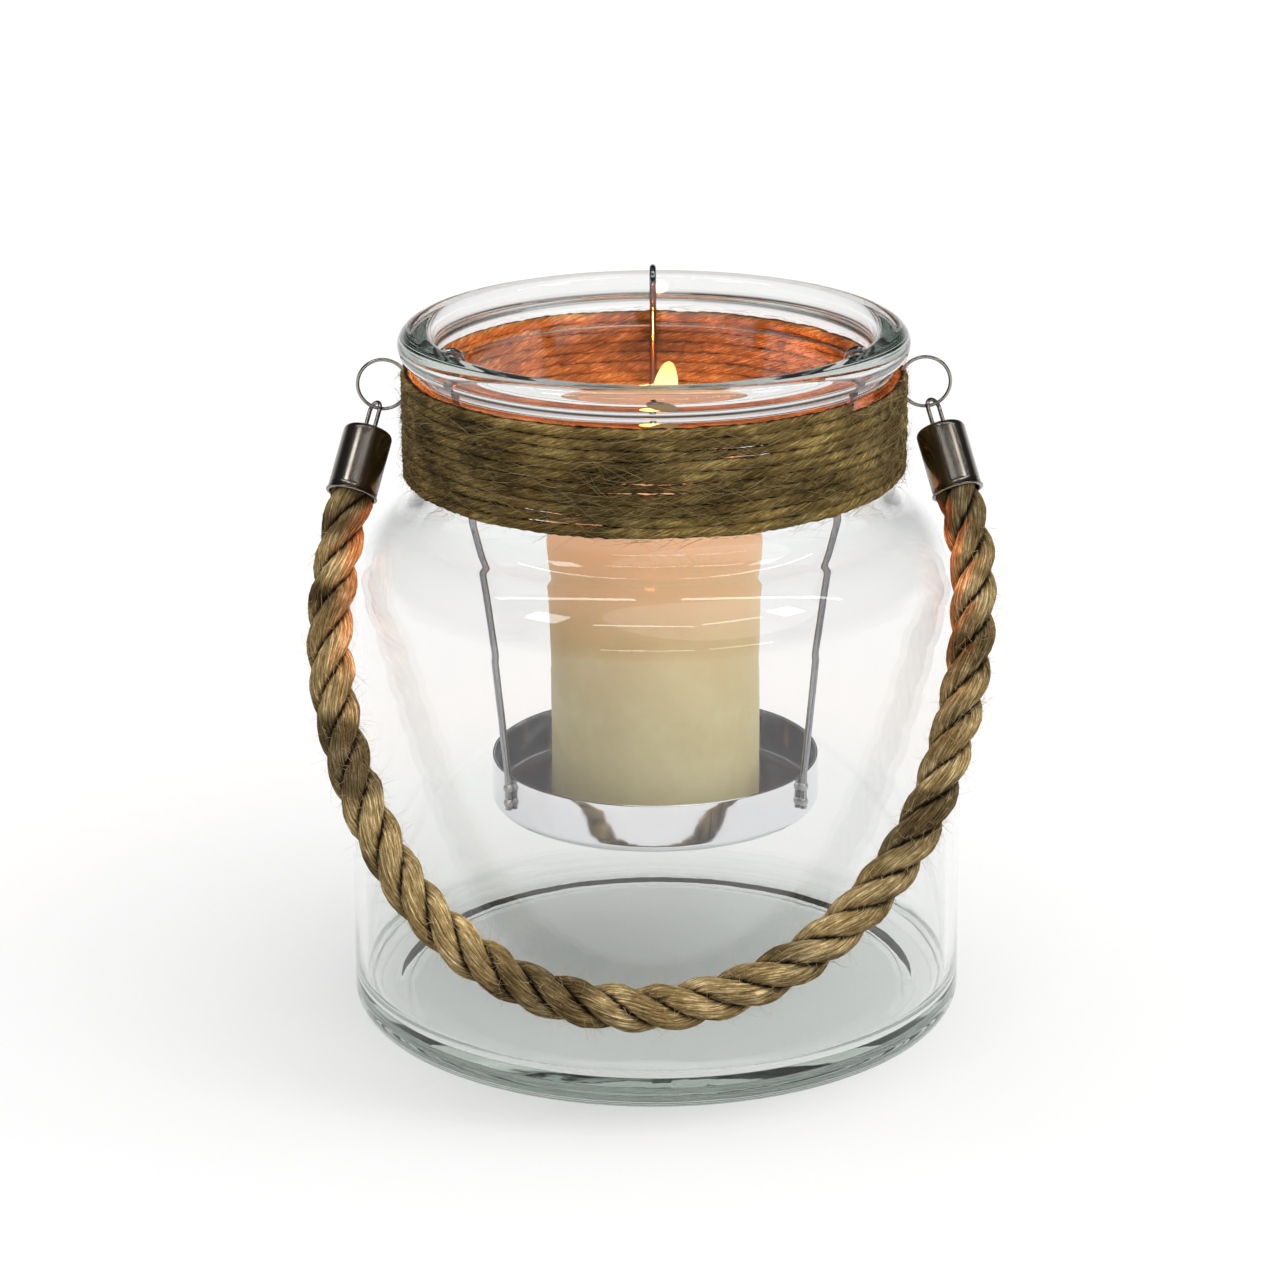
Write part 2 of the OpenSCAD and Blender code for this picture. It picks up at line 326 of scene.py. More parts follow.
def jute(name, dark, middle, light, groove):
    """Jute: streaks along the fibres, painted shade in the grooves, and slow changes of colour."""
    n = Nodes(name)
    fibre = n.attribute("fibre")
    streaks = n.noise(n.scaled(fibre, (0.16, 1.9, 1)), 1.0, 4, 0.75, 0.5)
    fine = n.noise(n.scaled(fibre, (0.45, 5.0, 1)), 1.0, 3, 0.7)
    patches = n.noise(n.place(), 70, 4, 0.65)
    cast = n.span(n.noise(n.scaled(n.place(), (1, 1, 2.2)), 22, 3, 0.6), 0.38, 0.62, 0.52, 1.65)
    shade = n.math("ADD", n.math("MULTIPLY", streaks, 0.45), n.math("MULTIPLY", fine, 0.3))
    shade = n.math("ADD", shade, n.math("MULTIPLY", patches, 0.25))
    colour = n.mix(n.span(shade, 0.40, 0.50), dark, middle)
    colour = n.mix(n.span(shade, 0.50, 0.60), colour, light)
    # Painted shade: where the depth attribute is low, in the grooves between strands, turns and yarns, the
    # colour goes towards a near-black copy of the dark colour.
    painted_groove_shade = tuple(0.18 * c for c in dark)
    colour = n.mix(n.span(n.attribute("depth", "Fac"), 0.0, groove), painted_groove_shade, colour)
    colour = n.mix(1.0, colour, n.grey(cast), "MULTIPLY")
    height = n.math("ADD", streaks, n.math("MULTIPLY", fine, 0.6))
    shader = n.principled(Base_Color=colour, Roughness=n.span(fine, 0.3, 0.7, 0.7, 0.95),
                          Normal=n.bump(height, 1.0, 0.0008), Specular_IOR_Level=0.12)
    return n.finish(shader.outputs[0])


def fuzz(name, dark, light):
    """Loose jute fibres, each with its own shade."""
    n = Nodes(name)
    tone = n.noise(n.attribute("fibre"), 3.0, 2)
    shader = n.principled(Base_Color=n.mix(n.span(tone, 0.3, 0.7), dark, light), Roughness=0.7,
                          Specular_IOR_Level=0.3)
    return n.finish(shader.outputs[0])


def metal(name, tint, rough_low, rough_high, scratch, grain=(60, 60, 60), stain=None):
    """Plated metal: cloudy roughness, hairline scratches and a faint stain."""
    n = Nodes(name)
    place = n.place()
    clouds = n.noise(place, 40, 3)
    hair = n.noise(n.scaled(place, grain), 30, 2, 0.7)
    colour = n.mix(n.span(clouds, 0.45, 0.7), tint, stain or tuple(0.9 * c for c in tint))
    rough = n.math("ADD", n.span(clouds, 0.3, 0.7, rough_low, rough_high), n.math("MULTIPLY", hair, 0.03))
    shader = n.principled(Base_Color=colour, Metallic=1.0, Roughness=rough,
                          Normal=n.bump(hair, scratch, 0.00003))
    return n.finish(shader.outputs[0])


def clear_glass():
    """Thick soda-lime glass. Lamps and diffuse light pass it straight, so that what is inside is lit."""
    n = Nodes("glass_clear")
    place = n.place()
    waves = n.noise(n.scaled(place, (1, 1, 0.45)), 26, 2, 0.4)
    ripple = n.noise(place, 110, 2, 0.5)
    height = n.math("ADD", waves, n.math("MULTIPLY", ripple, 0.08))
    rough = n.span(n.noise(place, 300, 2), 0.55, 0.75, 0.0, 0.015)
    shader = n.principled(Base_Color=(0.960, 0.965, 0.961), Roughness=rough, IOR=1.5,
                          Transmission_Weight=1.0, Normal=n.bump(height, 0.12, 0.0012))
    through = n.add("ShaderNodeBsdfTransparent")
    through.inputs["Color"].default_value = (0.985, 0.992, 0.988, 1)
    path = n.add("ShaderNodeLightPath")
    light = n.math("MAXIMUM", path.outputs["Is Shadow Ray"], path.outputs["Is Diffuse Ray"])
    depth = n.add("ShaderNodeVolumeAbsorption")
    depth.inputs["Color"].default_value = (0.27, 0.39, 0.31, 1)
    depth.inputs["Density"].default_value = 6.0
    n.link(depth.outputs[0], n.output.inputs["Volume"])
    return n.finish(n.either(light, shader.outputs[0], through.outputs[0]))


def wax():
    """Cream candle wax with a darker melted pool on top. Its colour is painted warmer towards the flame,
    and it carries a painted glow.
    """
    n = Nodes("wax_cream")
    place = n.place()
    up = n.split(place)["Z"]
    mottle = n.noise(place, 45, 4, 0.6)
    frost = n.noise(place, 420, 3, 0.6)
    cream = n.mix(n.span(mottle, 0.35, 0.7), (0.70, 0.59, 0.31), (0.78, 0.69, 0.40))
    # Painted flame light: the upper part of the side is tinted peach.
    colour = n.mix(n.span(up, 0.095, 0.145), cream, (0.86, 0.66, 0.42))
    facing = n.split(n.add("ShaderNodeNewGeometry").outputs["Normal"])["Z"]
    pool = n.span(facing, 0.3, 0.8)
    colour = n.mix(pool, colour, (0.02, 0.03, 0.04))
    # Painted glow from the flame, stronger towards the top: orange on the side and pale on the pool.
    painted_glow_colour = n.mix(pool, (1.0, 0.42, 0.16), (1.0, 0.80, 0.58))
    glow = n.math("MULTIPLY", n.span(up, 0.090, 0.150), 0.30)
    surface = n.math("ADD", mottle, n.math("MULTIPLY", frost, 0.12))
    rough = n.math("MAXIMUM", n.span(frost, 0.3, 0.7, 0.38, 0.55), pool)
    shader = n.principled(
        Base_Color=colour, Roughness=rough, Subsurface_Weight=0.5,
        Subsurface_Radius=(0.012, 0.006, 0.003), Subsurface_Scale=1.0, Specular_IOR_Level=0.2,
        Emission_Color=painted_glow_colour, Emission_Strength=glow, Normal=n.bump(surface, 0.5, 0.0006))
    return n.finish(shader.outputs[0])


def flame_glow():
    """The flame: pale at its foot, white-yellow in the middle, yellow at the tip.

    Its mesh is only to be seen. The light that it throws comes from flame_light.
    """
    n = Nodes("flame_glow")
    up = n.split(n.place())["Z"]
    colour = n.mix(n.span(up, 0.167, 0.174), (0.80, 0.72, 0.80), (1.0, 0.72, 0.34))
    colour = n.mix(n.span(up, 0.180, 0.194), colour, (1.0, 0.48, 0.12))
    light = n.add("ShaderNodeEmission")
    n.link(colour, light.inputs["Color"])
    direct = n.add("ShaderNodeLightPath").outputs["Is Camera Ray"]
    level = n.math("MULTIPLY", n.span(up, 0.166, 0.176, 0.9, 2.0), n.span(direct, 0, 1, 0.135, 1.0))
    n.link(level, light.inputs["Strength"])
    return n.finish(light.outputs[0])


def plain(name, low, high, rough, scale):
    """A matt stuff whose colour changes a little from place to place."""
    n = Nodes(name)
    spots = n.noise(n.place(), scale, 4, 0.6)
    shader = n.principled(Base_Color=n.mix(n.span(spots, 0.35, 0.65), low, high), Roughness=rough,
                          Normal=n.bump(spots, 0.4, 0.0003))
    return n.finish(shader.outputs[0])


ROPE_JUTE = jute("rope_jute", (0.055, 0.031, 0.010), (0.27, 0.18, 0.070), (0.80, 0.63, 0.34), 0.85)
TWINE_JUTE = jute("twine_jute", (0.055, 0.029, 0.008), (0.180, 0.118, 0.034), (0.55, 0.41, 0.155), 0.8)
ROPE_FUZZ = fuzz("rope_fuzz", (0.36, 0.25, 0.11), (0.80, 0.64, 0.37))
TWINE_FUZZ = fuzz("twine_fuzz", (0.14, 0.095, 0.034), (0.55, 0.42, 0.19))
GLASS = clear_glass()
CHROME = metal("chrome_polished", (0.78, 0.79, 0.82), 0.03, 0.10, 0.25)
WIRE_CHROME = metal("chrome_wire", (0.32, 0.33, 0.35), 0.06, 0.16, 0.4)
NICKEL = metal("nickel_plate", (0.27, 0.245, 0.21), 0.12, 0.24, 0.5, (20, 20, 3), (0.20, 0.18, 0.15))
WIRE_NICKEL = metal("nickel_wire", (0.36, 0.34, 0.31), 0.12, 0.28, 0.5)
WELD = metal("weld_steel", (0.50, 0.50, 0.50), 0.25, 0.5, 0.9)
WAX = wax()
FLAME = flame_glow()
WICK = plain("wick_char", (0.012, 0.010, 0.008), (0.05, 0.035, 0.025), 0.95, 900)
GLUE = plain("glue_amber", (0.55, 0.42, 0.20), (0.66, 0.54, 0.30), 0.35, 300)


# ---------------------------------------------------------------- camera
CAMERA_TARGET, CAMERA_DISTANCE = Vector((-0.0043, 0, 0.1078)), 1.201
CAMERA_PITCH, CAMERA_ROLL = math.radians(18.3), math.radians(-0.3)


def make_camera():
    data = bpy.data.cameras.new("camera")
    data.lens, data.sensor_width = 118.1, 36
    data.clip_start, data.clip_end = 0.05, 50
    camera = bpy.data.objects.new("camera", data)
    bpy.context.scene.collection.objects.link(camera)
    back = Vector((0, -math.cos(CAMERA_PITCH), math.sin(CAMERA_PITCH)))
    level = (-back).to_track_quat("-Z", "Y")
    camera.rotation_mode = "QUATERNION"
    camera.location = CAMERA_TARGET + back * CAMERA_DISTANCE
    camera.rotation_quaternion = level @ Matrix.Rotation(CAMERA_ROLL, 4, "Z").to_quaternion()
    bpy.context.scene.camera = camera


make_camera()


# ---------------------------------------------------------------- rope handle
ROPE_STRANDS, ROPE_LAY = 3, 36
STRAND_R, STRAND_OUT = 3.3, 3.25
YARN_TURN = 0.25  # radians that the yarns turn in a strand for each millimetre along it
YARN_COUNTS = (6, 9, 14, 21)
ROPE_STEP, STRAND_SIDES = 0.9, 64
ROPE_HAIRS = 3200
HAIR_STEPS, HAIR_SIDES = 5, 3
ASKEW = (0.37, 0.61, 0.70)  # a direction that the hairs don't run along


def rope_line():
    """The rope's centre line in millimetres, the three directions along and across it, and distances."""
    flat = np.array([(u, 0, -v) for u, v in ROPE_ROUTE], float)
    centre, s = along_curve(moved(flat, handle_matrix()), ROPE_STEP)
    tangent = unit(np.gradient(centre, axis=0))
    square = np.array(handle_matrix().to_3x3() @ Vector((0, 1, 0)))
    across = unit(np.cross(square, tangent))
    return centre, tangent, across, np.cross(tangent, across), s


def rope_strand(number, centre, across, square, s):
    """One strand's points, and for each of them its place along the fibres and its depth, which sets where
    the jute material paints shade.
    """
    turn = 2 * math.pi * (s / ROPE_LAY + number / ROPE_STRANDS)
    out = np.cos(turn)[:, None] * across + np.sin(turn)[:, None] * square
    middle = centre + (STRAND_OUT + 0.12 * wander(s, (61, 23, 11), 20 + number))[:, None] * out
    ahead = unit(np.gradient(middle, axis=0))
    side = np.cross(ahead, out)
    yarn = np.linspace(0, 2 * math.pi, STRAND_SIDES, endpoint=False)
    angle = yarn[None, :] - YARN_TURN * s[:, None]
    ridge = fibres(yarn, s, YARN_COUNTS, 30 + number)
    lumps = 1 + 0.035 * wander(s, (29, 13, 7), 40 + number)
    rough = np.random.default_rng(50 + number).standard_normal(angle.shape)
    radius = STRAND_R * lumps[:, None] * (0.95 + 0.065 * np.clip(ridge, -1.6, 1.1) + 0.017 * rough)
    points = middle[:, None] + radius[..., None] * (np.cos(angle)[..., None] * out[:, None]
                                                    + np.sin(angle)[..., None] * side[:, None])
    fibre = np.stack([np.repeat(s[:, None], STRAND_SIDES, 1) + number * 517,
                      np.repeat(STRAND_R * yarn[None, :], len(s), 0),
                      np.full(angle.shape, number * 31.0)], axis=-1)
    # depth is low on the side of the strand towards the rope's middle and between yarns: the painted shade
    # between strands.
    depth = smooth(np.cos(angle), -0.25, 0.6) * (0.45 + 0.55 * smooth(ridge, -1.3, 0.5))
    return points.reshape(-1, 3), fibre.reshape(-1, 3), depth.reshape(-1)


def make_rope(centre, across, square, s):
    points, faces, places, depths, start = [], [], [], [], 0
    for number in range(ROPE_STRANDS):
        p, fibre, depth = rope_strand(number, centre, across, square, s)
        p, f = capped(p, grid_faces(len(s), STRAND_SIDES), len(s), STRAND_SIDES)
        points.append(p)
        places.append(np.concatenate([fibre, fibre[:1], fibre[-1:]]))
        # The two fan middles at the ends get a little painted shade.
        depths.append(np.concatenate([depth, [0.2, 0.2]]))
        faces += [np.asarray(x) + start for x in f]
        start += len(p)
    return new_piece("rope_laid", np.concatenate(points), faces, ROPE_JUTE, "handle", ["rope"],
                     {"fibre": np.concatenate(places), "depth": np.concatenate(depths)})


def fibre_mesh(name, roots, leave, bend, length, thick, material, body, clear):
    """Loose fibres as thin tapering threads. leave is each one's first direction, bend its curl.

    clear says which threads stay clear of the other pieces. The rest are left out.
    """
    t = np.linspace(0, 1, HAIR_STEPS)[None, :, None]
    middle = roots[:, None] + length[:, None, None] * (t * leave[:, None] + 0.5 * t ** 2 * bend[:, None])
    good = clear(middle)
    middle, thick = middle[good], thick[good]
    ahead = unit(np.gradient(middle, axis=1))
    side = unit(np.cross(ahead, ASKEW))
    other = np.cross(ahead, side)
    a = np.linspace(0, 2 * math.pi, HAIR_SIDES, endpoint=False)[:, None]
    r = thick[:, None, None, None] * (1 - 0.75 * t[..., None])
    points = middle[:, :, None] + r * (np.cos(a) * side[:, :, None] + np.sin(a) * other[:, :, None])
    one, size = grid_faces(HAIR_STEPS, HAIR_SIDES), HAIR_STEPS * HAIR_SIDES
    count = len(middle)
    first = np.arange(count)[:, None] * size
    faces = (first[..., None] + one[None]).reshape(-1, 4)
    ends = first + np.array([[2, 1, 0]])
    tips = first + size - HAIR_SIDES + np.array([[0, 1, 2]])
    shade = np.repeat(np.random.default_rng(3).random((count, 3)) * 40, size, axis=0)
    return new_piece(name, points.reshape(-1, 3), [*faces, *ends, *tips], material, body,
                     values={"fibre": shade})


def make_rope_fuzz(centre, tangent, across, square, s):
    """Loose fibres on the rope, clear of the caps, the jar and the twine."""
    random = np.random.default_rng(11)
    count = ROPE_HAIRS
    bare = round((ROPE_IN_CAP + 7) / ROPE_STEP)
    at = random.integers(bare, len(s) - bare, count)
    a = random.random(count) * 2 * math.pi
    out = np.cos(a)[:, None] * across[at] + np.sin(a)[:, None] * square[at]
    roots = centre[at] + out * (ROPE_D / 2 - 0.9)
    leave = 0.55 * out * random.random((count, 1))
    leave = leave + tangent[at] * random.choice([-1, 1], (count, 1)) * random.uniform(0.3, 1, (count, 1))
    leave = unit(leave + 0.5 * random.standard_normal((count, 3)) + 0.35 * out)
    bend = 0.9 * random.standard_normal((count, 3))
    length = random.gamma(2.6, 1.3, count) + 1.2

    def clear(middle):
        off_jar = np.hypot(middle[..., 0], middle[..., 1]) > BODY_R + 0.4
        under_twine = middle[..., 2] < TWINE_Z - 5.5
        reach = np.linalg.norm(middle[:, -1] - centre[at], axis=1)
        return (off_jar & under_twine).all(1) & (reach < 12)

    return fibre_mesh("rope_fibres", roots, leave, bend, length, random.uniform(0.03, 0.075, count),
                      ROPE_FUZZ, "handle", clear)


centre, tangent, across, square, s = rope_line()
rope = make_rope(centre, across, square, s)
rope_fibres = make_rope_fuzz(centre, tangent, across, square, s)


# ---------------------------------------------------------------- end caps
def make_cap(side, name, node):
    """An end cap: a rounded cup with a bead round its mouth. side is -1 for left and 1 for right."""
    bore = CAP_D / 2 - CAP_WALL
    edge = arc(CAP_D / 2 - CAP_EDGE_R, -CAP_EDGE_R, CAP_EDGE_R, 90, 0, 12)
    bead = arc(CAP_D / 2, -CAP_L + CAP_BEAD, CAP_BEAD, 90, -90, 10)
    profile = np.concatenate([
        [[AXIS_R, 0]], line([AXIS_R, 0], edge[0], 3), edge[1:], line(edge[-1], bead[0], 10), bead[1:],
        line(bead[-1], [bore, -CAP_L], 2), line([bore, -CAP_L], [bore, -CAP_TOP_T], 8),
        [[AXIS_R, -CAP_TOP_T]]])
    points, faces = turned_solid(profile, 96)
    points = moved(points + [0, 0, -CAP_DROP], cap_matrix(side))
    new_piece(name, points, [f[::-1] for f in faces], NICKEL, "handle", [node])


make_cap(-1, "ferrule_left", "end_cap_left")
make_cap(1, "ferrule_right", "end_cap_right")


# ---------------------------------------------------------------- twine round the neck
TWINE_PITCH, TWINE_THICK, TWINE_STEP, TWINE_SIDES = 3.02, 1.70, 1.1, 22
TWINE_LAY = 26
TWINE_HAIRS, LIFTED_HAIRS = 7000, 0.05
THIN_TURNS = (1, 4, 7)  # turns that are thinner in front, so that candle light shows between them
CAP_CLEAR = 72.5  # past this far out in X the caps swing by


def make_twine():
    """One strand of twine, wound upwards round the neck."""
    low, high = TWINE_Z + TWINE_THICK, TWINE_TOP - TWINE_THICK
    turns = (high - low) / TWINE_PITCH
    steps = round(turns * 2 * math.pi * TWINE_R / TWINE_STEP)
    theta = np.linspace(0, turns * 2 * math.pi, steps) + math.pi / 2
    s = np.arange(steps) * TWINE_STEP
    sag = 0.22 * wander(theta, (2.1, 0.9, 0.37), 60)
    radius = TWINE_R + 0.12 * wander(s, (47, 19), 61)
    z = low + TWINE_PITCH * (theta - math.pi / 2) / (2 * math.pi) + 0.17 * wander(s, (83, 41, 17), 62) + sag
    centre = np.stack([radius * np.cos(theta), radius * np.sin(theta), np.clip(z, low, high)], axis=1)
    ahead = unit(np.gradient(centre, axis=0))
    out = unit(centre * [1, 1, 0])
    side = np.cross(ahead, out)
    yarn = np.linspace(0, 2 * math.pi, TWINE_SIDES, endpoint=False)
    angle = yarn[None, :] - 2 * math.pi * s[:, None] / TWINE_LAY
    ridge = fibres(yarn, s, (2, 4, 7), 64)
    rough = np.random.default_rng(65).standard_normal(angle.shape)
    turn, place = np.divmod(theta - math.pi / 2, 2 * math.pi)
    thin = np.isin(turn, THIN_TURNS) * np.exp(-((place - math.pi - 0.12 * (turn - 4)) / 0.2) ** 2)
    r = TWINE_THICK * (0.95 - 0.34 * thin[:, None] + 0.07 * wander(s, (31, 13, 5), 63)[:, None]
                       + 0.12 * np.clip(ridge, -1.6, 0.9) + 0.04 * rough)
    points = centre[:, None] + r[..., None] * (np.cos(angle)[..., None] * out[:, None]
                                               + np.sin(angle)[..., None] * side[:, None])
    fibre = np.stack([np.repeat(s[:, None], TWINE_SIDES, 1),
                      np.repeat(TWINE_THICK * yarn[None, :], steps, 0),
                      np.zeros_like(angle)], axis=-1)
    # depth is low at the top and bottom of each turn, where the turns meet, and between yarns: the painted
    # shade between turns.
    depth = smooth(np.abs(np.cos(angle)), 0.05, 0.75) * (0.5 + 0.5 * smooth(ridge, -1.2, 0.4))
    points, faces = capped(points.reshape(-1, 3), grid_faces(steps, TWINE_SIDES), steps, TWINE_SIDES)
    fibre = fibre.reshape(-1, 3)
    depth = depth.reshape(-1)
    new_piece("twine_wound", points, faces, TWINE_JUTE, "jar", ["neck_twine"],
              {"fibre": np.concatenate([fibre, fibre[:1], fibre[-1:]]),
               "depth": np.concatenate([depth, [0.5, 0.5]])})


def make_twine_fuzz():
    """Loose fibres on the twine, clear of its top and bottom and of the caps' swing."""
    random = np.random.default_rng(12)
    count = TWINE_HAIRS
    a = random.random(count) * 2 * math.pi
    out = np.stack([np.cos(a), np.sin(a), np.zeros(count)], axis=1)
    ahead = np.stack([-np.sin(a), np.cos(a), np.zeros(count)], axis=1)
    z = random.uniform(TWINE_Z + 0.8, TWINE_TOP - 0.8, count)
    roots = out * (TWINE_R + 1.15) + np.stack([np.zeros(count), np.zeros(count), z], axis=1)
    lift = np.where(random.random((count, 1)) < LIFTED_HAIRS, 0.9, 0.12) * random.random((count, 1))
    leave = unit(ahead * random.choice([-1, 1], (count, 1)) * random.uniform(0.5, 1, (count, 1))
                 + lift * out + random.standard_normal((count, 3)) * [0.12, 0.12, 0.30] + 0.05 * out)
    bend = 0.4 * random.standard_normal((count, 3)) - 0.22 * out
    length = random.gamma(2.6, 2.1, count) + 2

    def clear(middle):
        radius = np.hypot(middle[..., 0], middle[..., 1])
        level = middle[..., 2]
        in_cap_path = (np.abs(middle[..., 0]) > CAP_CLEAR) & (middle[..., 1] > -30) & (middle[..., 1] < 10)
        near = (radius > TWINE_R + 0.6) & (level > TWINE_Z - 1.5) & (level < TWINE_TOP + 0.6)
        return (near & ~in_cap_path).all(1)

    fibre_mesh("twine_fibres", roots, leave, bend, length, random.uniform(0.04, 0.08, count),
               TWINE_FUZZ, "jar", clear)


make_twine()
make_twine_fuzz()


# ---------------------------------------------------------------- glass jar
LIP_UNDER_A = -85  # where the lip's round side starts, in degrees


def make_jar():
    """The jar's outside and inside as one turned profile, from under the base to the floor inside."""
    sx = BODY_TOP_R - SHOULDER_R
    fx = NECK_R + NECK_FILLET_R
    fz = SHOULDER_Z + math.sqrt((SHOULDER_R + NECK_FILLET_R) ** 2 - (fx - sx) ** 2)
    meet = math.degrees(math.atan2(fz - SHOULDER_Z, fx - sx))
    inside_r = SHOULDER_R - GLASS_T
    gx = MOUTH_R + INSIDE_FILLET_R
    gz = SHOULDER_Z + math.sqrt((inside_r + INSIDE_FILLET_R) ** 2 - (gx - sx) ** 2)
    inside_meet = math.degrees(math.atan2(gz - SHOULDER_Z, gx - sx))
    lip_z = JAR_H - LIP_CORNER_R
    heel = arc(BODY_R - HEEL_R, HEEL_R, HEEL_R, -90, 0, 16)
    shoulder = arc(sx, SHOULDER_Z, SHOULDER_R, 0, meet, 26)
    fillet = arc(fx, fz, NECK_FILLET_R, 180 + meet, 180, 12)
    lip = arc(LIP_R - LIP_CORNER_R, lip_z, LIP_CORNER_R, LIP_UNDER_A, 90, 28)
    edge = arc(MOUTH_R + LIP_EDGE_R, JAR_H - LIP_EDGE_R, LIP_EDGE_R, 90, 180, 16)
    fillet_in = arc(gx, gz, INSIDE_FILLET_R, 180, 180 + inside_meet, 20)
    shoulder_in = arc(sx, SHOULDER_Z, inside_r, inside_meet, 0, 24)
    heel_in = arc(BODY_R - GLASS_T - HEEL_R, FLOOR_T + HEEL_R, HEEL_R, 0, -90, 16)
    profile = np.concatenate([
        [[AXIS_R, BASE_HOLLOW]],
        line([AXIS_R, BASE_HOLLOW], [STANDING_RING_R - BASE_SLOPE, BASE_HOLLOW], 14),
        line([STANDING_RING_R - BASE_SLOPE, BASE_HOLLOW], [STANDING_RING_R, 0], 4),
        line([STANDING_RING_R, 0], heel[0], 2), heel[1:], line(heel[-1], shoulder[0], 24), shoulder[1:],
        fillet[1:], line(fillet[-1], [NECK_R, lip_z - LIP_CORNER_R], 10), lip,
        line(lip[-1], edge[0], 4), edge[1:],
        line(edge[-1], fillet_in[0], 12), fillet_in[1:], shoulder_in[1:],
        line(shoulder_in[-1], heel_in[0], 24), heel_in[1:], line(heel_in[-1], [AXIS_R, FLOOR_T], 14)])
    points, faces = turned_solid(profile, 256)
    new_piece("jar_glass", points, faces, GLASS, "jar", ["jar"])


make_jar()


# ---------------------------------------------------------------- tray, candle, wick and flame
def make_tray():
    corner = arc(TRAY_R - TRAY_CORNER_R, TRAY_CORNER_R, TRAY_CORNER_R, -90, 0, 12)
    rim = arc(TRAY_R - TRAY_T / 2, TRAY_H - TRAY_T / 2, TRAY_T / 2, 0, 180, 10)
    inner = arc(TRAY_R - TRAY_CORNER_R, TRAY_CORNER_R, TRAY_CORNER_R - TRAY_T, 0, -90, 12)
    profile = np.concatenate([
        [[AXIS_R, 0]], line([AXIS_R, 0], corner[0], 8), corner[1:], line(corner[-1], rim[0], 6), rim[1:],
        line(rim[-1], inner[0], 6), inner[1:], line(inner[-1], [AXIS_R, TRAY_T], 8)])
    points, faces = turned_solid(profile + [0, TRAY_Z], 192)
    new_piece("tray_shell", points, faces, CHROME, "insert", ["tray"])


def make_candle():
    """The candle, slightly uneven round its side, with the pool and the wick's hole in its top."""
    foot = arc(CANDLE_R - CANDLE_FOOT_R, CANDLE_FOOT_R, CANDLE_FOOT_R, -90, 0, 5)
    edge = arc(CANDLE_R - CANDLE_EDGE_R, CANDLE_H - CANDLE_EDGE_R, CANDLE_EDGE_R, 0, 90, 10)
    wall = line(foot[-1], edge[0], 30)
    lip = arc(POOL_R + 5, CANDLE_H - 2.4, 2.4, 90, 150, 6)
    pool_r = np.array([POOL_R, 17, 13, 9, 5, 2, 1])
    pool = np.stack([pool_r, CANDLE_H - POOL_DEPTH + 0.5 * (pool_r / POOL_R) ** 4], axis=1)
    profile = np.concatenate([[[WICK_HOLE_R, 0]], line([WICK_HOLE_R, 0], foot[0], 6), foot[1:], wall,
                              edge[1:], lip, pool])
    points, faces = turned(profile + [0, CANDLE_Z], 128, closed=True)
    a = np.arctan2(points[:, 1], points[:, 0])
    z = points[:, 2] - CANDLE_Z
    soft = 0.12 * np.sin(2 * a + 0.6) * z / CANDLE_H + 0.05 * np.sin(5 * a + z / 13)
    outer = np.hypot(points[:, 0], points[:, 1]) > POOL_R + 1
    points[:, :2] *= (1 + np.where(outer, soft - 0.14, 0) / CANDLE_R)[:, None]
    new_piece("candle_wax", points, faces, WAX, "candle", ["candle"])


WICK_R, WICK_BRAID, WICK_TWIST = 0.78, 0.10, 72 * math.pi


def make_wick():
    """The braided wick, which curls over at its tip."""
    rows, sides = 60, 12
    t = np.linspace(0, 1, rows)
    out = 0.30 * np.sin(math.pi * t) + 1.4 * np.clip((t - 0.93) / 0.07, 0, 1) ** 2
    low = CANDLE_Z + 3
    centre = np.stack([out - 0.3, 0 * t, low + (WICK_TOP - low) * t], axis=1)
    centre[t < 0.9, 0] = 0
    a = np.linspace(0, 2 * math.pi, sides, endpoint=False)
    r = WICK_R + WICK_BRAID * np.cos(3 * a[None, :] + WICK_TWIST * t[:, None])
    points = centre[:, None] + np.stack([r * np.cos(a), r * np.sin(a), 0 * r], axis=-1)
    points, faces = capped(points.reshape(-1, 3), grid_faces(rows, sides), rows, sides)
    new_piece("wick_braided", points, faces, WICK, "candle", ["wick"])


FLAME_FOOT, FLAME_TIP, FLAME_R, FLAME_LEAN = WICK_TOP - 3.0, 190.0, 4.0, 4.2


def make_flame():
    """The flame, which leans a little to the right."""
    rows, sides = 40, 32
    t = np.linspace(0, 1, rows)
    radius = FLAME_R * np.sqrt(np.clip(1 - (2 * t ** 0.9 - 1) ** 2, 0, 1)) + 0.02
    points, faces = turned(np.stack([radius, FLAME_FOOT + (FLAME_TIP - FLAME_FOOT) * t], axis=1), sides)
    points, faces = capped(points, faces, rows, sides)
    points[:, 0] += FLAME_LEAN * ((points[:, 2] - FLAME_FOOT) / (FLAME_TIP - FLAME_FOOT)) ** 0.8
    flame = new_piece("flame", points, faces, FLAME, "candle")
    flame.visible_shadow = False


def make_flame_light():
    """The light that the flame throws."""
    data = bpy.data.lights.new("flame_light", "POINT")
    data.color, data.energy, data.shadow_soft_size = (1.0, 0.19, 0.035), 0.68, 0.004
    light = bpy.data.objects.new("flame_light", data)
    bpy.context.scene.collection.objects.link(light)
    light.location = (0, 0, 0.184)
    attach(light, "candle")


make_tray()
make_candle()
make_wick()
make_flame()
make_flame_light()


# ---------------------------------------------------------------- CAD pieces that keep their own shape
def dress(node, material):
    """Gives a CAD node that is shown as it is its material."""
    piece = frame["nodes"][node]
    piece.data.materials.clear()
    piece.data.materials.append(material)


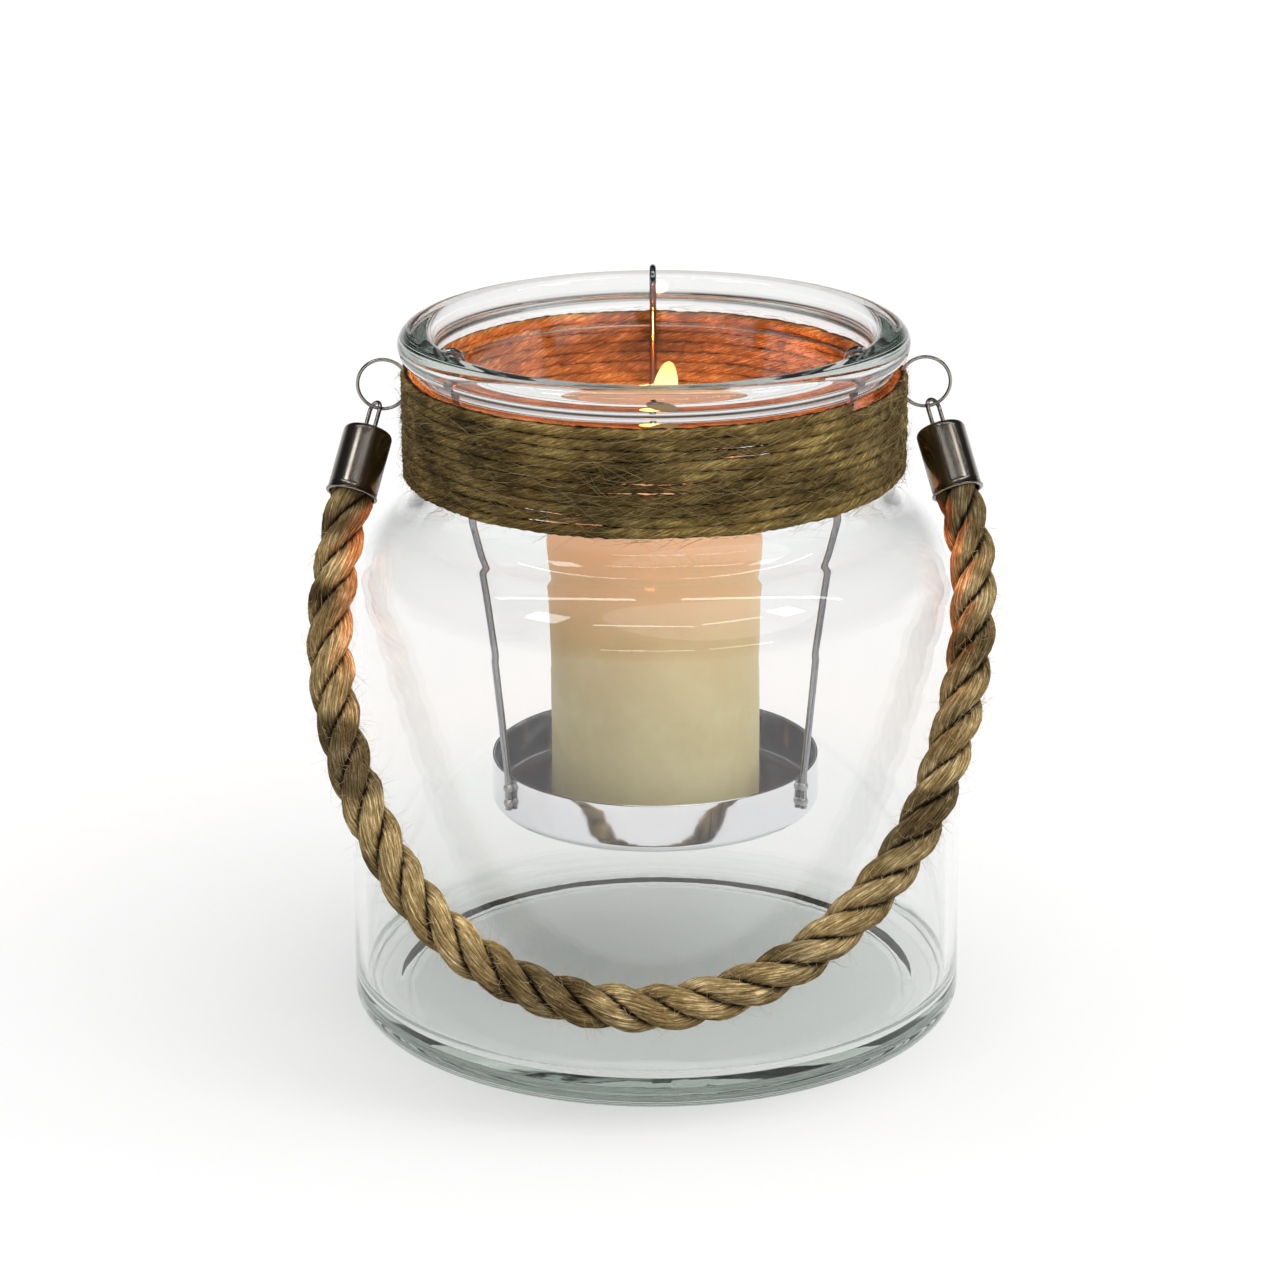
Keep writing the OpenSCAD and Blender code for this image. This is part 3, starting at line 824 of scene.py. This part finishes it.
for node in ("ring_left", "ring_right"):
    dress(node, WIRE_NICKEL)
for node in ("eye_left", "eye_right"):
    dress(node, WIRE_NICKEL)
for node in ("hanger_wire_back", "hanger_wire_left", "hanger_wire_right"):
    dress(node, WIRE_CHROME)
for node in ("adhesive_left", "adhesive_right"):
    dress(node, GLUE)
dress("neck_wire", WIRE_NICKEL)
dress("tack_welds", WELD)


# ---------------------------------------------------------------- floor, world and lamps
def make_floor():
    """A white table. Light that comes back from it onto the object is weaker, as from a small table."""
    n = Nodes("floor_pale")
    spots = n.noise(n.place(), 4, 3)
    near = n.principled(Base_Color=n.mix(spots, (0.79, 0.79, 0.79), (0.805, 0.805, 0.805)), Roughness=0.7,
                        Specular_IOR_Level=0.0)
    far = n.principled(Base_Color=n.mix(spots, (0.34, 0.34, 0.34), (0.36, 0.36, 0.36)), Roughness=0.7)
    diffuse = n.add("ShaderNodeLightPath").outputs["Is Diffuse Ray"]
    mesh = bpy.data.meshes.new("floor")
    mesh.from_pydata([(-9, -9, 0), (9, -9, 0), (9, 9, 0), (-9, 9, 0)], [], [(0, 1, 2, 3)])
    mesh.materials.append(n.finish(n.either(diffuse, near.outputs[0], far.outputs[0])))
    floor = bpy.data.objects.new("floor", mesh)
    bpy.context.scene.collection.objects.link(floor)


HEART = (0, 0, 0.13)  # the middle of the lantern, where the lamps point
WORLD_LEVEL, WORLD_TOP, SIDE_LEFT, SIDE_RIGHT = 0.42, 0.85, 0.2, 1.2


def make_world():
    """A studio that lights from above and from the right.

    Glass and polished metal see it white behind and dim in front, and the camera sees plain white.
    """
    world = bpy.data.worlds.new("studio")
    world.use_nodes = True
    world.cycles.sampling_method = "NONE"
    bpy.context.scene.world = world
    n = Nodes("studio", world.node_tree)
    way = n.split(n.add("ShaderNodeTexCoord").outputs["Generated"])
    front = n.span(way["Z"], 0.0, 0.32, 0.60, 0.04)
    roof = n.span(way["Z"], 0.75, 0.99, 0.0, 0.25)
    low = n.span(way["Z"], 0.05, 0.30, 1.0, 0.03)
    behind = n.math("MULTIPLY", n.span(way["Y"], -0.25, 0.5, 0.0, 0.95), low)
    seen = n.math("MAXIMUM", n.math("MAXIMUM", front, roof), behind)
    lit = n.span(way["Z"], 0.0, 1.0, WORLD_LEVEL, WORLD_TOP)
    lit = n.math("ADD", lit, n.span(way["X"], 0.25, 1.0, 0.0, SIDE_RIGHT))
    lit = n.math("ADD", lit, n.span(way["X"], -1.0, -0.25, SIDE_LEFT, 0.0))
    path = n.add("ShaderNodeLightPath")
    diffuse, camera = path.outputs["Is Diffuse Ray"], path.outputs["Is Camera Ray"]
    shown = n.mix(diffuse, seen, lit)
    n.link(n.mix(camera, shown, (1.0, 1.0, 1.0)), world.node_tree.nodes["Background"].inputs["Color"])


def around(azimuth, elevation, distance):
    """A place round the jar. Azimuth 0 is in front of it, and positive is to the right."""
    a, e = math.radians(azimuth), math.radians(elevation)
    level = distance * math.cos(e)
    return (level * math.sin(a), -level * math.cos(a), HEART[2] + distance * math.sin(e))


def link_lamp(name, data, place, target):
    """A lamp at a place, which points at its target and isn't seen itself."""
    lamp = bpy.data.objects.new(name, data)
    bpy.context.scene.collection.objects.link(lamp)
    lamp.location = place
    lamp.rotation_mode = "QUATERNION"
    lamp.rotation_quaternion = (Vector(target) - Vector(place)).to_track_quat("-Z", "Y")
    lamp.visible_camera = False
    return lamp


def make_glint(name, place, width, height, level, target=HEART):
    """A lamp that shows only as a highlight on glass and metal. level is how bright it looks."""
    data = bpy.data.lights.new(name, "AREA")
    data.shape, data.size, data.size_y = "RECTANGLE", width, height
    data.energy = level * math.pi * width * height
    lamp = link_lamp(name, data, place, target)
    lamp.visible_diffuse = False
    lamp.visible_transmission = False


def make_key():
    """One very wide and soft lamp, above in front and a little to the right."""
    data = bpy.data.lights.new("key", "SUN")
    data.energy, data.angle = 1.5, math.radians(65)
    lamp = link_lamp("key", data, around(35, 58, 2), HEART)
    lamp.visible_glossy = False


make_floor()
make_world()
make_key()
make_glint("glint_low_left", around(-3, 13.5, 1.7), 1.0, 0.03, 9)
make_glint("glint_low_right", around(31, 13.5, 1.7), 0.7, 0.03, 9)
make_glint("glint_high_left", around(-5, 47, 1.6), 0.9, 0.04, 9)
make_glint("glint_high_right", around(35, 47, 1.6), 0.55, 0.04, 9)
make_glint("glint_top_left", (-0.66, -0.06, 1.63), 1.1, 0.09, 9, target=(-0.66, 0, 0.13))
make_glint("glint_top_right", (1.0, -0.06, 1.63), 1.7, 0.09, 9, target=(1.0, 0, 0.13))
make_glint("glint_side_left", around(-50, 46, 1.5), 0.30, 0.30, 8)
make_glint("glint_side_right", around(62, 46, 1.5), 0.22, 0.30, 6)


def set_light_paths():
    """Bounces enough for light that is trapped in the thick base, and none of the flame's caustics."""
    cycles = bpy.context.scene.cycles
    cycles.max_bounces = 24
    cycles.glossy_bounces = 20
    cycles.transmission_bounces = 20
    cycles.transparent_max_bounces = 16
    cycles.caustics_reflective = False
    cycles.caustics_refractive = False
    cycles.sample_clamp_indirect = 6


bpy.context.scene.view_settings.view_transform = "Standard"
set_light_paths()
